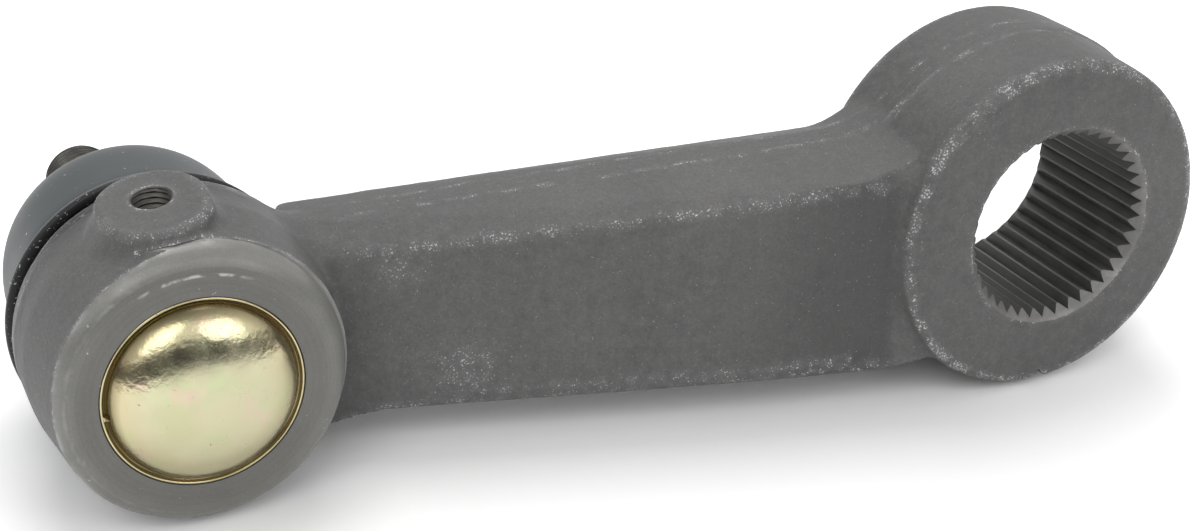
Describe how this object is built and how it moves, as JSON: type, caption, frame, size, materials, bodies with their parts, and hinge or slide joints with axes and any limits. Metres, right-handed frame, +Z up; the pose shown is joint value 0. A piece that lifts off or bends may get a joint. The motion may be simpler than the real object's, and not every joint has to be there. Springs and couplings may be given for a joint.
{
  "type": "pitman arm",
  "caption": "Forged steering pitman arm with a serrated eye at one end and a greaseable ball joint with a domed cap, rubber dust boot and threaded stud at the other.",
  "frame": {"origin": "middle of the serrated bore, on its axis", "axes": "+X along the arm from the ball end to the eye, +Y along both bores towards the stud's tip, +Z up as the arm stands on its edge"},
  "size_m": [0.1825, 0.0973, 0.056],
  "materials": {
    "forging": "matte phosphated forging scale with a turned ring",
    "plated_cap": "yellow zinc plated pressed sheet steel",
    "spring_steel": "bright spring wire",
    "bearing": "sintered steel",
    "stud_steel": "dark oiled steel",
    "boot_rubber": "matte moulded rubber",
    "ring_steel": "plain steel"
  },
  "bodies": {
    "arm": {"arm_forging": "forging", "end_cap": "plated_cap", "preload_spring": "spring_steel", "pressure_pad": "bearing", "upper_seat": "bearing"},
    "boot": {"dust_boot": "boot_rubber"},
    "neck": {"neck_ring": "ring_steel"},
    "stud": {"ball_stud": "stud_steel"}
  },
  "joints": [
    {"name": "stud_swing_up", "type": "hinge", "parent": "arm", "child": "boot", "pos_m": [-0.1329, 0.016, -0.0055], "axis": [1, 0, 0], "range_deg": [-14, 14], "deforming": ["dust_boot"]},
    {"name": "stud_swing_side", "type": "hinge", "parent": "boot", "child": "neck", "pos_m": [-0.1329, 0.016, -0.0055], "axis": [0, 0, 1], "range_deg": [-14, 14], "deforming": ["dust_boot"]},
    {"name": "stud_spin", "type": "hinge", "parent": "neck", "child": "stud", "pos_m": [-0.1329, 0.016, -0.0055], "axis": [0, 1, 0], "continuous": true}
  ]
}
